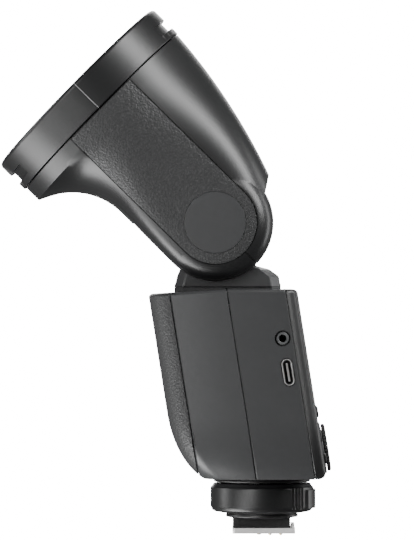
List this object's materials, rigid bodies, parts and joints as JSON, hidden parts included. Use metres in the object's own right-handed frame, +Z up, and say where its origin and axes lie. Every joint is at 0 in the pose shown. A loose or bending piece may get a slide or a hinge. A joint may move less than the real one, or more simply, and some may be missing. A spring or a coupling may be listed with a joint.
{
  "type": "speedlight flash",
  "caption": "Round-headed camera flash with a tilting and swivelling head, rear screen and dial, side battery and a locking hot shoe foot.",
  "frame": {"origin": "centre of the underside of the hot shoe foot plate", "axes": "+Z up out of the camera, +X towards the viewer and the rear screen, -X towards the subject, +Y towards the battery side"},
  "size_m": [0.1153, 0.0764, 0.1832],
  "materials": {
    "head_plastic": "satin black moulded plastic with a fine spark texture",
    "case_plastic": "dark grey moulded plastic with a fine spark texture",
    "leather_skin": "charcoal pebble-grained leatherette",
    "ring_plastic": "satin black plastic with turned edges",
    "black_plastic": "matte black plastic",
    "key_rubber": "soft black rubber",
    "shoe_steel": "bright stamped steel",
    "socket_steel": "plain drawn and turned steel",
    "contact_gold": "gold plated",
    "port_grey": "grey moulded plastic",
    "display_glass": "dark glossy window",
    "lamp_window": "deep red window",
    "lamp_yellow": "pale translucent plastic",
    "lens_plastic": "clear ribbed acrylic",
    "tube_glass": "quartz tube",
    "mirror_metal": "polished reflector sheet",
    "board_green": "glass fibre circuit board",
    "capacitor_sleeve": "shrink sleeve"
  },
  "bodies": {
    "base_unit": {"foot_plate": "shoe_steel", "foot_riser": "black_plastic", "foot_stem": "black_plastic", "front_shell": "case_plastic", "rear_shell": "case_plastic", "front_grip": "leather_skin", "rear_bezel": "black_plastic", "af_lamp_window": "lamp_window", "slave_sensor_window": "lamp_window", "display_window": "display_glass", "display_panel": "black_plastic", "control_board": "board_green", "dial_bezel": "port_grey", "battery_bay": "black_plastic", "main_board": "board_green", "main_capacitor": "capacitor_sleeve", "sync_jack": "port_grey", "usb_shell": "socket_steel", "usb_tongue": "socket_steel"},
    "turret": {"turret_base": "case_plastic", "turret_cap": "case_plastic", "swivel_retainer": "socket_steel"},
    "head": {"head_shell_top": "head_plastic", "head_shell_bottom": "head_plastic", "side_panel_left": "leather_skin", "side_panel_right": "leather_skin", "hinge_cap_left": "case_plastic", "hinge_cap_right": "case_plastic", "accessory_ring": "ring_plastic", "front_lens": "lens_plastic", "lens_frame": "black_plastic", "head_chassis": "black_plastic", "zoom_rail_left": "socket_steel", "zoom_rail_right": "socket_steel", "zoom_motor": "socket_steel", "modelling_led": "lamp_yellow", "tilt_axle": "socket_steel"},
    "zoom_carriage": {"zoom_carriage": "black_plastic", "reflector": "mirror_metal", "flash_tube": "tube_glass"},
    "zoom_screw": {"zoom_screw": "socket_steel"},
    "battery": {"battery_pack": "case_plastic"},
    "battery_latch": {"battery_latch": "black_plastic"},
    "dial": {"dial": "key_rubber"},
    "set_button": {"set_button": "black_plastic"},
    "function_key_1": {"function_key_1": "key_rubber"},
    "function_key_2": {"function_key_2": "key_rubber"},
    "function_key_3": {"function_key_3": "key_rubber"},
    "function_key_4": {"function_key_4": "key_rubber"},
    "menu_key": {"menu_key": "key_rubber"},
    "mode_key": {"mode_key": "key_rubber"},
    "test_key": {"test_key": "lamp_yellow"},
    "power_switch": {"power_switch": "black_plastic"},
    "lock_ring": {"lock_ring": "ring_plastic"},
    "lock_pin": {"lock_pin": "shoe_steel"},
    "contact_pin_1": {"contact_pin_1": "contact_gold"},
    "contact_pin_2": {"contact_pin_2": "contact_gold"},
    "contact_pin_3": {"contact_pin_3": "contact_gold"},
    "contact_pin_4": {"contact_pin_4": "contact_gold"},
    "contact_pin_5": {"contact_pin_5": "contact_gold"}
  },
  "joints": [
    {"name": "head_swivel", "type": "hinge", "parent": "base_unit", "child": "turret", "pos_m": [-0.01265, 0, 0.0855], "axis": [0, 0, 1], "range_deg": [-150, 180]},
    {"name": "head_tilt", "type": "hinge", "parent": "turret", "child": "head", "pos_m": [-0.017, 0, 0.108], "axis": [0, 1, 0], "range_deg": [-44.5, 75.5]},
    {"name": "zoom_travel", "type": "slide", "parent": "head", "child": "zoom_carriage", "axis": [-0.7133, 0, 0.7009], "range_m": [0, 0.012]},
    {"name": "zoom_screw_turn", "type": "hinge", "parent": "head", "child": "zoom_screw", "pos_m": [-0.03052, 0, 0.15844], "axis": [-0.7133, 0, 0.7009], "range_deg": [0, 720]},
    {"name": "battery_slide", "type": "slide", "parent": "base_unit", "child": "battery", "axis": [0, 1, 0], "range_m": [0, 0.07]},
    {"name": "battery_latch_slide", "type": "slide", "parent": "base_unit", "child": "battery_latch", "axis": [0.1564, 0, -0.9877], "range_m": [0, 0.004], "stiffness_N_per_m": 250, "springref_m": -0.001},
    {"name": "dial_turn", "type": "hinge", "parent": "base_unit", "child": "dial", "pos_m": [0.01994, 0, 0.02948], "axis": [0.9877, 0, 0.1564], "continuous": true},
    {"name": "set_button_press", "type": "slide", "parent": "base_unit", "child": "set_button", "axis": [-0.9877, 0, -0.1564], "range_m": [0, 0.0006], "stiffness_N_per_m": 700, "springref_m": -0.0006},
    {"name": "function_key_1_press", "type": "slide", "parent": "base_unit", "child": "function_key_1", "axis": [-0.9877, 0, -0.1564], "range_m": [0, 0.0005], "stiffness_N_per_m": 600, "springref_m": -0.0006},
    {"name": "function_key_2_press", "type": "slide", "parent": "base_unit", "child": "function_key_2", "axis": [-0.9877, 0, -0.1564], "range_m": [0, 0.0005], "stiffness_N_per_m": 600, "springref_m": -0.0006},
    {"name": "function_key_3_press", "type": "slide", "parent": "base_unit", "child": "function_key_3", "axis": [-0.9877, 0, -0.1564], "range_m": [0, 0.0005], "stiffness_N_per_m": 600, "springref_m": -0.0006},
    {"name": "function_key_4_press", "type": "slide", "parent": "base_unit", "child": "function_key_4", "axis": [-0.9877, 0, -0.1564], "range_m": [0, 0.0005], "stiffness_N_per_m": 600, "springref_m": -0.0006},
    {"name": "menu_key_press", "type": "slide", "parent": "base_unit", "child": "menu_key", "axis": [-0.9877, 0, -0.1564], "range_m": [0, 0.0005], "stiffness_N_per_m": 600, "springref_m": -0.0006},
    {"name": "mode_key_press", "type": "slide", "parent": "base_unit", "child": "mode_key", "axis": [-0.9877, 0, -0.1564], "range_m": [0, 0.0005], "stiffness_N_per_m": 600, "springref_m": -0.0006},
    {"name": "test_key_press", "type": "slide", "parent": "base_unit", "child": "test_key", "axis": [-0.9877, 0, -0.1564], "range_m": [0, 0.0005], "stiffness_N_per_m": 600, "springref_m": -0.0006},
    {"name": "power_switch_slide", "type": "slide", "parent": "base_unit", "child": "power_switch", "axis": [0, 1, 0], "range_m": [0, 0.0034]},
    {"name": "lock_ring_turn", "type": "hinge", "parent": "base_unit", "child": "lock_ring", "pos_m": [-0.0006, 0, 0.012], "axis": [0, 0, 1], "range_deg": [0, 60]},
    {"name": "lock_pin_drop", "type": "slide", "parent": "base_unit", "child": "lock_pin", "axis": [0, 0, -1], "range_m": [0, 0.0012]},
    {"name": "contact_pin_1_press", "type": "slide", "parent": "base_unit", "child": "contact_pin_1", "axis": [0, 0, 1], "range_m": [0, 0.0008], "stiffness_N_per_m": 500, "springref_m": -0.0005},
    {"name": "contact_pin_2_press", "type": "slide", "parent": "base_unit", "child": "contact_pin_2", "axis": [0, 0, 1], "range_m": [0, 0.0008], "stiffness_N_per_m": 500, "springref_m": -0.0005},
    {"name": "contact_pin_3_press", "type": "slide", "parent": "base_unit", "child": "contact_pin_3", "axis": [0, 0, 1], "range_m": [0, 0.0008], "stiffness_N_per_m": 500, "springref_m": -0.0005},
    {"name": "contact_pin_4_press", "type": "slide", "parent": "base_unit", "child": "contact_pin_4", "axis": [0, 0, 1], "range_m": [0, 0.0008], "stiffness_N_per_m": 500, "springref_m": -0.0005},
    {"name": "contact_pin_5_press", "type": "slide", "parent": "base_unit", "child": "contact_pin_5", "axis": [0, 0, 1], "range_m": [0, 0.0008], "stiffness_N_per_m": 500, "springref_m": -0.0005}
  ],
  "couplings": [
    {"joint": "zoom_screw_turn", "follows": "zoom_travel", "rad_per_m": 1047.2},
    {"joint": "lock_pin_drop", "follows": "lock_ring_turn", "m_per_rad": 0.001145}
  ]
}
